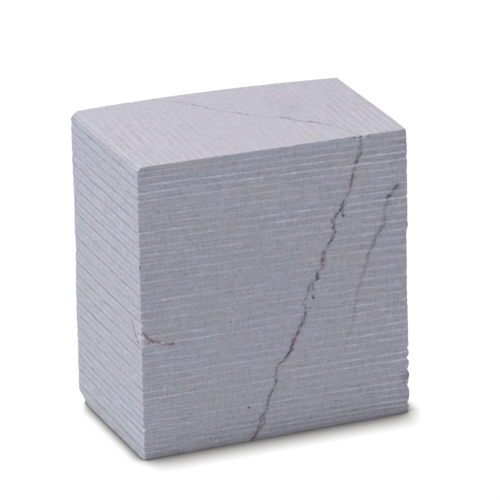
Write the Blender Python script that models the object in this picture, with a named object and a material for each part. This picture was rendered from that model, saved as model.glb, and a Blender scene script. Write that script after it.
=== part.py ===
"""Soapstone carving block: one sawn block of soft stone, standing on its end.

Lengths are in metres. +Z is up, +Y points to the back face, and the origin is the
centre of the base. The block is cut from a box: planes slice it along its saw strokes
and close to its edges, and its vertices are then moved to round the edges, to cut the
ledges that each stroke left, and to take the corners out of true.
"""

import bmesh
import bpy
import numpy as np

MM = 0.001
NAME = "soapstone_block"
COLLECTION = "soapstone_carving_block"

# The block before its corners run out of true.
WIDTH = 94.3 * MM
DEPTH = 59.9 * MM
HEIGHT = 100.0 * MM
CROWN = 1.05 * MM  # how far the top rises halfway along its back edge
STONE_COLOUR = (0.40, 0.41, 0.46, 1.0)

# Sawn edges are nearly sharp. The one between the top and the left face is worn round.
EDGE_RADIUS = 0.55 * MM
WORN_RADIUS = 1.7 * MM

# Each corner's shift from the true box, in mm: (left/right, front/back, bottom/top).
CORNER_SHIFTS = {
    (0, 0, 0): (-0.34, -1.70, 0.0),
    (1, 0, 0): (0.85, 1.45, 0.0),
    (0, 1, 0): (0.06, 0.30, 0.0),
    (1, 1, 0): (0.30, 0.90, 0.0),
    (0, 0, 1): (0.11, 0.0, 0.10),
    (1, 0, 1): (-0.28, 0.0, -0.02),
    (0, 1, 1): (-0.36, 0.0, 0.61),
    (1, 1, 1): (0.46, 0.0, -0.70),
}

# The saw left a ledge at every stroke. Their spacing varies up each face, in mm, as
# (height, spacing there); the first number is the height of the lowest ledge.
FRONT_STROKES = (2.2, ((0, 1.5), (8, 2.25), (13, 2.56), (35, 2.7), (43, 2.84), (51, 3.36),
                       (60, 3.12), (68, 2.8), (74, 2.5), (84, 2.82), (90, 2.5), (98, 2.06)))
LEFT_STROKES = (3.3, ((0, 5.15), (20, 4.9), (45, 4.42), (72, 4.2), (98, 3.15)))
BACK_STROKES = (3.2, ((0, 3.9), (50, 3.4), (98, 3.8)))
HIGHEST_LEDGE = 97.6  # no ledge stands closer to the top, in mm
LEDGE = 0.30 * MM  # height of a ledge's own small shelf
ROW_GAP = 0.95 * MM  # the most between two rows of vertices
FRONT_CUT = 0.20 * MM  # how far a ledge stands proud of the hollow above it
LEFT_CUT = 0.18 * MM
BACK_CUT = 0.20 * MM
RIGHT_CUT = 0.16 * MM
STROKE_SPREAD = 0.35  # how much one stroke's depth differs from the next
STROKE_SEEDS = {"front": 11, "left": 12, "back": 13}
CUT_FADE = 1.2 * MM  # the cuts die out over this height at the top and the base

# Low on the edge between the front and the right face the strokes tore it into scallops:
# the heights of the notches between them, in mm.
NOTCHES = (-2.0, 4.6, 10.9, 16.5, 20.4, 24.0, 27.4)
NOTCH_CUT = 0.75 * MM
NOTCH_SHARPNESS = 2.2
SCALLOP_BULGE = 0.22 * MM
SCALLOP_REACH = 9.0 * MM

# The strokes aren't level: how far they stand above their mean height at each corner.
STROKE_RISE = {"front_left": 0.81, "back_left": 1.9, "back_right": 0.2, "front_right": -0.81}
RISE_BEND = 1.7  # above 1, most of the change from front to back comes near the back
RUN_IN = 7.0 * MM  # near the top and the base the rows come level again

# Knocks along the edges: (edge point in mm, reach along each axis in mm, depth in mm).
CHIPS = (
    ((-47.1, -29.9, 43.5), (2.0, 4.5, 6.0), 0.55),
    ((-47.1, -29.9, 10.0), (1.5, 1.5, 2.2), 0.45),
    ((-47.1, -29.9, 100.0), (2.6, 2.0, 1.8), 0.4),
    ((-47.1, 29.9, 100.0), (2.4, 2.4, 2.4), 0.55),
    ((30.8, -29.9, 100.0), (3.0, 1.5, 1.6), 0.6),
    ((47.1, 29.9, 62.0), (1.5, 3.0, 5.0), 0.7),
    ((47.1, 29.9, 22.0), (2.0, 2.0, 3.4), 0.6),
    ((-16.0, 29.9, 0.0), (6.0, 2.0, 1.5), 0.6),
)
EDGE_SHARE = 0.49  # a chip lies on each face that it is nearer to than this share of the size

# The back left foot is knocked off flat, this far along each of its three edges.
FOOT_CUT = (1.8 * MM, 8.5 * MM, 3.2 * MM)
TINY = 1e-9


def smooth(value, low, high):
    """0 below low, 1 above high, and an eased run between them."""
    t = np.clip((value - low) / (high - low), 0.0, 1.0)
    return t * t * (3.0 - 2.0 * t)


def ledge_heights(strokes):
    """The heights of a face's ledges, each one spacing above the one below it."""
    lowest, spacings = strokes
    at, spacing = zip(*spacings)
    heights = [lowest]
    while heights[-1] < HIGHEST_LEDGE:
        heights.append(heights[-1] + np.interp(heights[-1], at, spacing))
    return np.array(heights[:-1]) * MM


def row_heights():
    """Where level planes slice the box: two at each front ledge, and fillers between."""
    ledges = ledge_heights(FRONT_STROKES)
    fixed = np.concatenate(
        [
            [0.0, EDGE_RADIUS, HEIGHT - WORN_RADIUS, HEIGHT - EDGE_RADIUS, HEIGHT],
            ledges - LEDGE / 2,
            ledges + LEDGE / 2,
        ]
    )
    fixed.sort()
    rows = [
        np.linspace(low, high, int(np.ceil((high - low) / ROW_GAP)), endpoint=False)
        for low, high in zip(fixed[:-1], fixed[1:])
    ]
    return np.concatenate(rows)[1:]


def column_places(half, worn_side, inner):
    """Where upright planes slice the box: at each rounding, and evenly between."""
    places = list(np.linspace(-half + WORN_RADIUS, half - WORN_RADIUS, inner + 2))
    places += [-half + EDGE_RADIUS, half - EDGE_RADIUS]
    if worn_side:
        places.append(-half + (WORN_RADIUS + EDGE_RADIUS) / 2)
    return places


def sliced_box(rows):
    """A box, sliced by planes into the facets that the shaping moves."""
    bm = bmesh.new()
    bmesh.ops.create_cube(bm, size=1.0)
    bmesh.ops.scale(bm, vec=(WIDTH, DEPTH, HEIGHT), verts=bm.verts)
    bmesh.ops.translate(bm, vec=(0.0, 0.0, HEIGHT / 2), verts=bm.verts)
    cuts = [((0.0, 0.0, z), (0.0, 0.0, 1.0)) for z in rows]
    cuts += [((x, 0.0, 0.0), (1.0, 0.0, 0.0)) for x in column_places(WIDTH / 2, True, 5)]
    cuts += [((0.0, y, 0.0), (0.0, 1.0, 0.0)) for y in column_places(DEPTH / 2, False, 2)]
    for point, normal in cuts:
        everything = bm.verts[:] + bm.edges[:] + bm.faces[:]
        bmesh.ops.bisect_plane(bm, geom=everything, plane_co=point, plane_no=normal, dist=1e-7)
    return bm


def rounded(points):
    """The box's points with its edges rounded, and the way each one then faces."""
    half = np.array([WIDTH / 2, DEPTH / 2, HEIGHT / 2])
    local = points - [0.0, 0.0, HEIGHT / 2]
    worn = smooth(-local[:, 0], half[0] - 4 * WORN_RADIUS, half[0] - WORN_RADIUS)
    worn *= smooth(local[:, 2], half[2] - 4 * WORN_RADIUS, half[2] - WORN_RADIUS)
    radius = EDGE_RADIUS + (WORN_RADIUS - EDGE_RADIUS) * worn
    core = np.clip(local, radius[:, None] - half, half - radius[:, None])
    out = local - core
    length = np.linalg.norm(out, axis=1, keepdims=True)
    facing = out / np.maximum(length, TINY)
    return core + facing * radius[:, None] + [0.0, 0.0, HEIGHT / 2], facing


def stroke_cut(heights, rows, strokes, shelf_up, seed):
    """How deep each height lies behind its ledge, from 0 at the lip to about 1."""
    ledges = ledge_heights(strokes)
    rng = np.random.default_rng(seed)
    strength = 1.0 + STROKE_SPREAD * rng.uniform(-1.0, 1.0, len(ledges))
    middles = (rows[:-1] + rows[1:]) / 2
    at = np.abs(middles[None, :] - ledges[:, None]).argmin(axis=1)
    places = np.stack([rows[at], rows[at + 1]], axis=1).ravel()
    if shelf_up:
        depths = np.stack([np.zeros(len(at)), strength], axis=1).ravel()
    else:
        depths = np.stack([strength, np.zeros(len(at))], axis=1).ravel()
    return np.interp(heights, places, depths)


def stroke_rise(points):
    """How far the strokes stand above their mean height, round the four faces."""
    u = points[:, 0] / WIDTH + 0.5
    v = np.clip(points[:, 1] / DEPTH + 0.5, 0.0, 1.0)
    front = STROKE_RISE["front_left"] * (1 - u) + STROKE_RISE["front_right"] * u
    back = STROKE_RISE["back_left"] * (1 - u) + STROKE_RISE["back_right"] * u
    return (front + (back - front) * v**RISE_BEND) * MM


def scallops(points, facing):
    """How far the torn edge lies behind its line: cut at the notches, bulging between them."""
    notches = np.array(NOTCHES) * MM
    lower = np.clip(np.searchsorted(notches, points[:, 2]) - 1, 0, len(notches) - 2)
    share = (points[:, 2] - notches[lower]) / (notches[lower + 1] - notches[lower])
    depth = NOTCH_CUT * np.abs(2 * share - 1) ** NOTCH_SHARPNESS - SCALLOP_BULGE
    reach = 1.0 - smooth(points[:, 1], -DEPTH / 2, -DEPTH / 2 + SCALLOP_REACH)
    reach *= 1.0 - smooth(points[:, 2], notches[-2], notches[-1])
    return depth * reach * np.clip(facing[:, 0] - facing[:, 1] / 2, 0.0, 1.0)


def chipped(points, box_points):
    """The points with a shallow flake knocked off the edge at each chip."""
    moved = points.copy()
    middle = np.array([0.0, 0.0, HEIGHT / 2])
    for place, reach, depth in CHIPS:
        centre = np.array(place) * MM
        offset = (box_points - centre) / (np.array(reach) * MM)
        share = np.clip(1.0 - (offset**2).sum(axis=1), 0.0, 1.0)
        level = np.abs(centre - middle) > EDGE_SHARE * np.array([WIDTH, DEPTH, HEIGHT])
        inward = np.where(level, np.sign(middle - centre), 0.0)
        inward /= np.linalg.norm(inward)
        moved += share[:, None] * inward * depth * MM
    return moved


def out_of_true(points):
    """The points carried along by the shifts of the eight corners, and by the crown."""
    u = np.clip(points[:, 0] / WIDTH + 0.5, 0.0, 1.0)
    v = np.clip(points[:, 1] / DEPTH + 0.5, 0.0, 1.0)
    w = np.clip(points[:, 2] / HEIGHT, 0.0, 1.0)
    moved = points.copy()
    for (i, j, k), shift in CORNER_SHIFTS.items():
        share = (u if i else 1 - u) * (v if j else 1 - v) * (w if k else 1 - w)
        moved += share[:, None] * np.array(shift) * MM
    moved[:, 2] += CROWN * (1 - (2 * u - 1) ** 2) * v * w**4
    return moved


def shaped(points, rows):
    """Every step of the shaping, from the sliced box to the finished block."""
    base = points[:, 2] < TINY
    height = points[:, 2].copy()
    body, facing = rounded(points)
    front = np.clip(-facing[:, 1], 0.0, 1.0)
    back = np.clip(facing[:, 1], 0.0, 1.0)
    left = np.clip(-facing[:, 0], 0.0, 1.0)
    right = np.clip(facing[:, 0], 0.0, 1.0)
    front_cut = stroke_cut(height, rows, FRONT_STROKES, True, STROKE_SEEDS["front"])
    left_cut = stroke_cut(height, rows, LEFT_STROKES, False, STROKE_SEEDS["left"])
    back_cut = stroke_cut(height, rows, BACK_STROKES, True, STROKE_SEEDS["back"])
    fade = smooth(height, 0.0, CUT_FADE) * (1.0 - smooth(height, HEIGHT - CUT_FADE, HEIGHT))
    body[:, 1] += fade * (front * FRONT_CUT * front_cut - back * BACK_CUT * back_cut)
    body[:, 0] += fade * (left * LEFT_CUT * left_cut - right * RIGHT_CUT * front_cut)
    body[:, 0] -= scallops(points, facing)
    body = chipped(body, points)
    level = smooth(height, 0.0, RUN_IN) * (1.0 - smooth(height, HEIGHT - RUN_IN, HEIGHT))
    body[:, 2] += level * stroke_rise(points)
    body = out_of_true(body)
    body[base, 2] = 0.0
    low_corner = body.min(axis=0)
    high_corner = body.max(axis=0)
    body[:, :2] -= (low_corner[:2] + high_corner[:2]) / 2
    return body


def knock_foot(bm):
    """Slices the back left foot off along one plane, and closes the slice."""
    foot = min((vert.co for vert in bm.verts), key=lambda co: co.x - co.y + co.z).copy()
    point = (foot.x + FOOT_CUT[0], foot.y, foot.z)
    normal = (-1.0 / FOOT_CUT[0], 1.0 / FOOT_CUT[1], -1.0 / FOOT_CUT[2])
    cut = bmesh.ops.bisect_plane(
        bm,
        geom=bm.verts[:] + bm.edges[:] + bm.faces[:],
        dist=1e-6,
        plane_co=point,
        plane_no=normal,
        clear_outer=True,
    )
    rim = [item for item in cut["geom_cut"] if isinstance(item, bmesh.types.BMEdge)]
    bmesh.ops.edgenet_fill(bm, edges=rim)


def stone():
    """Plain blue-grey stone, dull as it comes from the saw."""
    material = bpy.data.materials.new("soapstone")
    material.use_nodes = True
    shader = material.node_tree.nodes["Principled BSDF"]
    shader.inputs["Base Color"].default_value = STONE_COLOUR
    shader.inputs["Roughness"].default_value = 0.75
    material.diffuse_color = STONE_COLOUR
    return material


for old in list(bpy.data.objects):
    bpy.data.objects.remove(old, do_unlink=True)

rows = row_heights()
bm = sliced_box(rows)
start = np.array([vert.co for vert in bm.verts])
for vert, place in zip(bm.verts, shaped(start, np.concatenate([[0.0], rows, [HEIGHT]]))):
    vert.co = place
knock_foot(bm)
bmesh.ops.triangulate(bm, faces=bm.faces[:])
bmesh.ops.recalc_face_normals(bm, faces=bm.faces[:])

mesh = bpy.data.meshes.new(NAME)
bm.to_mesh(mesh)
bm.free()
mesh.materials.append(stone())
block = bpy.data.objects.new(NAME, mesh)
collection = bpy.data.collections.new(COLLECTION)
bpy.context.scene.collection.children.link(collection)
collection.objects.link(block)
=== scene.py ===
import math

import bpy
import numpy as np
from mathutils import Matrix, Vector


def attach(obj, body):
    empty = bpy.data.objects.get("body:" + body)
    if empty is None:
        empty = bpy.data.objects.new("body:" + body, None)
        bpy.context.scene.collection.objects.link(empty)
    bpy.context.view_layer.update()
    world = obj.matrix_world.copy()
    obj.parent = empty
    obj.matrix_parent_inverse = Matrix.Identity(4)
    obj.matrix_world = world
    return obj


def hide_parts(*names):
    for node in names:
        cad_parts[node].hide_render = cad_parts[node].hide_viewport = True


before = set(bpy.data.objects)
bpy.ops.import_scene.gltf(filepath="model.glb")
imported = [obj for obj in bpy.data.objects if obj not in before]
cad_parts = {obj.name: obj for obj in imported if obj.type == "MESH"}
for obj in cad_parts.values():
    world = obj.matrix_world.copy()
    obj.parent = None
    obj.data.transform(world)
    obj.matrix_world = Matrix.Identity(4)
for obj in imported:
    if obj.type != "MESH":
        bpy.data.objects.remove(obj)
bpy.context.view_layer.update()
mm = 0.001

# The stone's size and form, in millimetres.
block = {
    "width": 94.3,
    "depth": 59.9,
    "height": 100.0,
    "crown": 1.05,  # how far the top rises halfway along its back edge
    "edgeRadius": 0.42,
    "wornRadius": 1.7,  # the edge between the top and the left face
    "wornSway": ((0.35, 5.0, 3), (0.2, 1.9, 4)),  # (share, size, seed) of the noise in it
    "roundCorners": (((-1, 1, 1), 3.1), ((-1, -1, 1), 2.2)),  # which corner, and its radius
    "wave": 0.10,  # the slow unevenness of every face
    "waveNoise": (26.0, 31, 2),  # size, seed and layers
    "inset": 0.03,  # keeps the relief behind the solid's own faces
    # left/right, front/back and bottom/top shift of each corner from a true box
    "cornerShifts": {
        (0, 0, 0): (-0.34, -1.70, 0.0),
        (1, 0, 0): (0.85, 1.45, 0.0),
        (0, 1, 0): (-0.12, 0.30, 0.0),
        (1, 1, 0): (0.30, 0.90, 0.0),
        (0, 0, 1): (0.11, 0.0, 0.10),
        (1, 0, 1): (-0.28, 0.0, -0.02),
        (0, 1, 1): (-0.36, 0.0, 0.61),
        (1, 1, 1): (0.46, 0.0, -0.70),
    },
    # how far the saw strokes stand above their mean height at each upright edge
    "rise": {"frontLeft": 0.81, "backLeft": 1.9, "backRight": 0.2, "frontRight": -0.81},
    "riseBend": 1.7,  # above 1, most of the change from front to back comes near the back
    "runIn": 5.0,  # near the top and the base the strokes come level again
}
halfWidth, halfDepth, halfHeight = block["width"] / 2, block["depth"] / 2, block["height"] / 2
halfBlock = np.array([halfWidth, halfDepth, halfHeight])

# Where the vertices stand, in mm. They crowd at the edges, the ledges and the main vein.
netting = {
    "columnGap": 1.4,  # at most, between two upright lines of vertices on the broad faces
    "sideColumnGap": 1.75,
    "rowGap": 0.78,
    "edgeSteps": (0.0, 0.12, 0.26, 0.42),  # distances from every edge
    "sideSteps": (0.8, 1.25, 1.7),  # and further ones from an upright edge
    "footSteps": (0.75,),
    "topSteps": (0.7, 1.0, 1.35, 1.7),
    "shelfSteps": (-0.85, -0.32, 0.32, 0.85),  # up and down from a ledge, in shelf heights
    "closest": 0.05,  # a row that would stand closer above another is left out
    "veinMiddle": 8.0,  # where the columns that follow the main vein stand in an upright grid
    "veinSteps": (0.13, 0.28, 0.46, 0.7, 1.0, 1.35),
    "veinWhole": 1.5,  # columns this near to the middle move with the vein in full
    "veinClear": 2.2,  # and those this near to an edge don't move
}

# The ledges of the saw strokes on each face: the lowest one, then (height, spacing) pairs.
strokes = {
    "front": {
        "lowest": 2.2,
        "spacing": ((0, 1.5), (8, 2.25), (13, 2.56), (35, 2.7), (43, 2.84), (51, 3.36),
                    (60, 3.12), (68, 2.8), (74, 2.5), (84, 2.82), (90, 2.5), (98, 2.06)),
        "cut": 0.09,
        "shelf": 0.36,
        "shelfUp": True,
        "tone": 0.13,  # how much lighter a ledge's line is painted than the face, or darker below 0: partly chalk, partly a painted highlight on the shelf, with painted shade beside it
        "reach": 1.35,  # from the middle of a ledge's line to where its flanks end
        "flank": 0.5,  # how far the flanks go the other way, against the line: painted shade beside a light line, or lighter shoulders beside a dark one
        "between": 0.58,  # strength of the finer strokes halfway between the ledges
        "sway": 0.28,  # how far a stroke wanders up and down
        "uneven": 0.35,  # how much stronger or weaker than the rest a whole stroke can be
        "seed": 11,
    },
    "left": {
        "lowest": 3.3,
        "spacing": ((0, 5.15), (20, 4.9), (45, 4.42), (72, 4.2), (98, 3.15)),
        "cut": 0.155,
        "shelf": 0.55,
        "shelfUp": False,
        # the left face's lines are dark: painted shade in its grooves, with lighter shoulders
        "tone": -0.205,
        "reach": 1.85,
        "flank": 0.33,
        "between": 0.4,
        "sway": 0.3,
        "uneven": 0.2,
        "seed": 12,
    },
    "back": {
        "lowest": 3.2,
        "spacing": ((0, 3.9), (50, 3.4), (98, 3.8)),
        "cut": 0.12,
        "shelf": 0.34,
        "shelfUp": True,
        "tone": 0.13,
        "reach": 1.5,
        "flank": 0.4,
        "between": 0.35,
        "sway": 0.4,
        "uneven": 0.45,
        "seed": 13,
    },
    "right": {
        "lowest": 2.2,
        "spacing": ((0, 2.4), (30, 2.7), (60, 3.1), (98, 2.5)),
        "cut": 0.12,
        "shelf": 0.34,
        "shelfUp": True,
        "tone": 0.13,
        "reach": 1.4,
        "flank": 0.4,
        "between": 0.5,
        "sway": 0.32,
        "uneven": 0.45,
        "seed": 14,
    },
}
# What all strokes share. Noises are given as (stretch, size, seed).
sawing = {
    "highest": 97.6,  # no ledge stands closer to the top
    "sway": ((0.3, 0.3, 0.6), 3.0, 40),  # moves a stroke up and down
    "swell": ((0.4, 0.4, 1.0), 2.2, 50),  # makes it stronger and weaker along its way
    "swellBy": 1.25,
    "swellLimits": (0.05, 2.3),
    "lineAt": (0.0, 0.28, 0.6, 1.0),  # a line's middle, shoulder, flank and end, of its reach
    "shoulder": 0.25,
    "fineSeed": 100,  # added to a face's seed for its finer strokes
    "footFade": 1.0,  # the strokes die out over this height at the base
    "topFade": (4.5, 0.5),  # and between these distances from the top
    "giveWay": 3.0,  # how far behind its rounded edge the next face still moves with a cut
}
outwards = {"front": (1, -1), "back": (1, 1), "left": (0, -1), "right": (0, 1)}  # axis and way

# Each vein's way over the faces that it crosses: (place along, place across, strength) in
# mm. The axes say which coordinate runs along the vein and which runs across it.
upright, flat, level = (2, 0), (1, 0), (0, 2)
veins = {
    "main": {
        "front": (upright, (
            (0, -9.7, 1.0), (1, -8.8, 0.9), (3, -7.2, 0.8), (7.3, -6.3, 0.7), (8.8, -4.7, 0.8),
            (12.1, -3.3, 0.7), (17.1, -1.5, 0.9), (18.4, -1.0, 0.5), (19.5, -0.4, 1.0),
            (21.8, -0.7, 0.7), (24.6, -0.3, 0.6), (26.7, 3.3, 1.0), (29.2, 5.1, 1.1),
            (35.4, 7.6, 1.1), (38.7, 9.6, 1.2), (41, 10.4, 0.9), (45.3, 10.0, 0.6),
            (47.4, 11.4, 0.6), (49.6, 11.8, 0.8), (51.8, 12.9, 0.9), (52.5, 14.9, 0.9),
            (54.6, 14.9, 1.0), (56.7, 16.7, 0.9), (60.8, 17.1, 1.0), (64, 19.1, 0.8),
            (67.2, 20.9, 0.9), (70.1, 20.9, 0.85), (72.4, 21.3, 1.0), (75.6, 23.4, 0.9),
            (78.8, 24.8, 0.65), (80.0, 25.8, 0.3), (81.2, 27.0, 0.7), (83.5, 26.8, 0.8),
            (86, 27.8, 0.8), (89.4, 28.2, 0.6), (91.2, 29.2, 1.0), (93.6, 30.5, 0.8),
            (95.6, 30.5, 0.45), (98.4, 30.8, 0.45), (99.3, 31.0, 0.7), (100, 31.0, 1.0),
        )),
        "top": (flat, (
            (-30, 31.0, 0.4), (-23, 28.5, 0.3), (-18.1, 26.6, 0.4), (-14.2, 23.8, 0.6),
            (-11.2, 21.3, 0.75), (-9.8, 19.1, 0.5), (-7.6, 16.5, 0.65), (-3.9, 14.1, 0.7),
            (-1.3, 10.0, 0.35), (2.1, 5.6, 0.5), (5.2, 2.8, 0.6), (9.1, -1.6, 0.5),
            (13.8, -4.7, 0.55), (20.7, -9.5, 0.5), (26.5, -15.9, 0.4), (30, -19.6, 0.35),
        )),
        "back": (upright, (
            (0, -34.0, 0.3), (20, -31.0, 0.6), (42, -25.5, 0.7), (60, -23.0, 0.5),
            (80, -20.5, 0.8), (100, -19.6, 0.6),
        )),
        "base": (flat, ((-30, -9.6, 0.8), (-10, -17.0, 0.6), (12, -25.0, 0.6), (30, -34.0, 0.4))),
    },
    "second": {
        "front": (upright, (
            (23, 23.6, 0.0), (29.4, 24.8, 0.25), (35.3, 27.1, 0.35), (42.4, 28.4, 0.45),
            (48.1, 29.9, 0.5), (51.2, 30.6, 0.5), (55.1, 32.4, 0.65), (57.8, 32.8, 0.55),
            (62.4, 35.0, 0.75), (65, 36.3, 0.9), (68.2, 38.7, 1.15), (71.9, 39.2, 0.3),
            (73.4, 39.3, 0.5), (74.4, 39.5, 1.0), (75.6, 39.7, 0.4), (76.6, 39.9, 0.5),
            (77.3, 40.3, 1.6), (78.1, 40.9, 1.2), (78.7, 41.5, 0.35), (79.2, 42.0, 0.7),
            (79.9, 42.6, 1.7), (80.7, 43.2, 1.0), (81.7, 44.0, 0.0),
        )),
        "right": ((2, 1), ((84.5, -30.0, 0.0), (90, -21.0, 0.6), (94, -11.0, 0.4), (97, -6.0, 0.0))),
    },
    "third": {
        "front": (level, (
            (-47.3, 44.8, 1.6), (-45.8, 43.0, 2.0), (-44.7, 42.1, 1.7), (-43.8, 41.2, 1.3),
            (-42.4, 40.5, 1.5), (-40.8, 39.9, 0.8), (-39.8, 39.2, 0.4), (-38.6, 38.8, 1.2),
            (-37.0, 38.7, 1.4), (-35.0, 38.8, 1.2), (-34.2, 38.8, 0.0),
        )),
        "left": ((1, 2), (
            (-30, 40.0, 0.3), (-26.5, 40.4, 1.3), (-24.5, 42.6, 1.7), (-22.8, 44.8, 1.2),
            (-19, 46.4, 0.0),
        )),
    },
    # short strands that split off the main vein and run beside it
    "strands": {
        "front": (upright, (
            (2.6, -7.0, 0.0), (3.6, -6.2, 0.8), (5.4, -5.2, 1.0), (8.6, -4.6, 0.7),
            (9.4, -4.4, 0.0), (46.0, 13.4, 0.0), (46.6, 13.4, 1.6), (47.8, 13.4, 0.3),
            (49.4, 13.4, 0.9), (51.6, 13.1, 0.8), (52.2, 13.0, 0.0), (72.6, 24.4, 0.0),
            (73.4, 24.3, 1.3), (75.2, 24.1, 0.8), (78.0, 24.7, 0.4), (79.0, 24.9, 0.0),
        )),
    },
}
veinSway = ((0.22, 2.7, 61), (0.32, 1.1, 62))  # how a vein wanders: (reach, size, seed)
veinCalm = 2.0  # its ends stay in their places over this length
veinReach = 8.0  # past this distance a point belongs to no vein
farAway = 99.0
thinner = 1.8  # the third vein and the strands against the second vein
# the flat map of the faces, in mm: the walls come first, then the top, and the base past it
capMapStart, capMapStep, mapUnit = 500.0, 100.0, 100.0


def smooth(value, low, high):
    # 0 below low, 1 above high, and the cubic 3t^2 - 2t^3 between them
    t = np.clip((value - low) / (high - low), 0.0, 1.0)
    return t * t * (3.0 - 2.0 * t)


def rising(value, rule):
    # a rule is (share, low, high): 0 below low, and the whole share above high
    share, low, high = rule
    return share * smooth(value, low, high)


def falling(value, rule):
    # the whole share below low, and 0 above high
    share, low, high = rule
    return share * (1 - smooth(value, low, high))


# large odd numbers and shifts that turn a lattice corner's place into a random number
hashPrimes = (73856093, 19349663, 83492791)
seedPrime = 2654435761
hashTurns = ((13, 1274126177), (15, 668265263))
hashBits = 0x7FFFFFFF


def latticeNoise(points, size, seed):
    # A random number from -1 to 1 stands on each corner of a cubic lattice. A point takes
    # the mean of its cell's eight, weighted by how near each is along every axis.
    scaled = np.asarray(points, float) / size
    corner = np.floor(scaled).astype(np.int64)
    t = scaled - corner
    t = t * t * (3.0 - 2.0 * t)
    total = np.zeros(len(scaled))
    for step in np.ndindex(2, 2, 2):
        mixed = ((corner + np.array(step)) * np.array(hashPrimes)).sum(axis=1) + seed * seedPrime
        for turn, factor in hashTurns:
            mixed = (mixed ^ (mixed >> turn)) * factor & hashBits
        weight = np.where(step, t, 1.0 - t).prod(axis=1)
        total += weight * (mixed / (hashBits // 2) - 1.0)
    return total


def summedNoise(points, parts, start=0.0):
    # start + the sum of share * lattice noise, over parts given as (share, size, seed)
    return sum((share * latticeNoise(points, size, seed) for share, size, seed in parts), start)


def layeredNoise(points, size, seed, layers=3):
    # Lattice noise summed over layers, each half the size and half the height of the last,
    # with seeds 7 apart. Divided by 1.5, the sum mostly stays between -1 and 1.
    parts = [latticeNoise(points, size / 2**i, seed + 7 * i) / 2**i for i in range(layers)]
    return sum(parts) / 1.5


def ledgeHeights(face):
    # each ledge stands one spacing above the one below it
    at, spacing = zip(*strokes[face]["spacing"])
    heights = [strokes[face]["lowest"]]
    while heights[-1] < sawing["highest"]:
        heights.append(heights[-1] + np.interp(heights[-1], at, spacing))
    return np.array(heights[:-1])


def halfway(places):
    return (places[1:] + places[:-1]) / 2


def filledIn(fixed, gap):
    # the fixed places in their order, with even steps of at most a gap between them
    runs = [
        np.linspace(low, high, math.ceil((high - low) / gap), endpoint=False)
        for low, high in zip(fixed[:-1], fixed[1:])
    ]
    return np.concatenate(runs + [fixed[-1:]])


def rowHeights():
    # rows of vertices crowd at the front face's ledges and at the rounded edges
    ledges = ledgeHeights("front")
    ledges = np.concatenate([ledges, halfway(ledges)])[:, None]
    near = (ledges + strokes["front"]["shelf"] * np.array(netting["shelfSteps"])).ravel()
    foot = np.array(netting["edgeSteps"] + netting["footSteps"])
    top = block["height"] - np.array(netting["edgeSteps"] + netting["topSteps"])
    fixed = np.sort(np.concatenate([near, foot, top]))
    apart = np.diff(fixed) > netting["closest"]
    return filledIn(fixed[np.concatenate([[True], apart])], netting["rowGap"])


def columnPlaces(half, gap, middle=None):
    # columns crowd at the rounded edges, and round the middle of the vein where there is one
    edge = half - np.array(netting["edgeSteps"] + netting["sideSteps"])
    fixed = np.concatenate([-edge, edge])
    if middle is not None:
        beside = np.array(netting["veinSteps"])
        fixed = np.concatenate([fixed, middle - beside, [middle], middle + beside])
    return filledIn(np.sort(fixed), gap)


def veinPlace(vein, face, along):
    # straight runs between the points, with a jagged wander of two sizes laid over them
    at, across, strength = zip(*veins[vein][face][1])
    line = np.stack([along.ravel(), 0 * along.ravel(), 0 * along.ravel()], axis=1)
    calm = smooth(along, min(at), min(at) + veinCalm)
    calm *= 1.0 - smooth(along, max(at) - veinCalm, max(at))
    sway = calm * summedNoise(line, veinSway).reshape(along.shape)
    return np.interp(along, at, across) + sway, np.interp(along, at, strength, left=0.0, right=0.0)


def besideVein(vein, points, onFace):
    # signed distance across the vein and its strength, at points on the faces it crosses
    across = np.full(len(points), farAway)
    strength = np.zeros(len(points))
    for face, ((along, over), _) in veins[vein].items():
        here = onFace[face]
        place, strong = veinPlace(vein, face, points[here, along])
        across[here] = points[here, over] - place
        strength[here] = strong
    return across, np.where(np.abs(across) < veinReach, strength, 0.0)


def leaned(across, face, along):
    # Columns near the vein's middle move with it, and the move dies out towards the edges:
    # across + (vein - middle) * tent, where the tent falls from 1 at the vein to 0.
    middle, whole = netting["veinMiddle"], netting["veinWhole"]
    reach = halfWidth - netting["veinClear"]
    left = np.clip((across + reach) / (middle - whole + reach), 0.0, 1.0)
    right = np.clip((reach - across) / (reach - middle - whole), 0.0, 1.0)
    tent = np.where(across < middle, left, right)
    return across + (veinPlace("main", face, along)[0] - middle) * tent


def strokeRise(x, y):
    # rows follow the saw: a blend of the rises at the four upright edges, steeper at the back
    u = np.clip(x / block["width"] + 0.5, 0.0, 1.0)
    v = np.clip(y / block["depth"] + 0.5, 0.0, 1.0)
    rise = block["rise"]
    front = rise["frontLeft"] * (1 - u) + rise["frontRight"] * u
    back = rise["backLeft"] * (1 - u) + rise["backRight"] * u
    return front + (back - front) * v ** block["riseBend"]


def rowLevel(height):
    # 1 over most of the height, and 0 at the base and at the top
    run = block["runIn"]
    return smooth(height, 0.0, run) * (1.0 - smooth(height, block["height"] - run, block["height"]))


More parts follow.
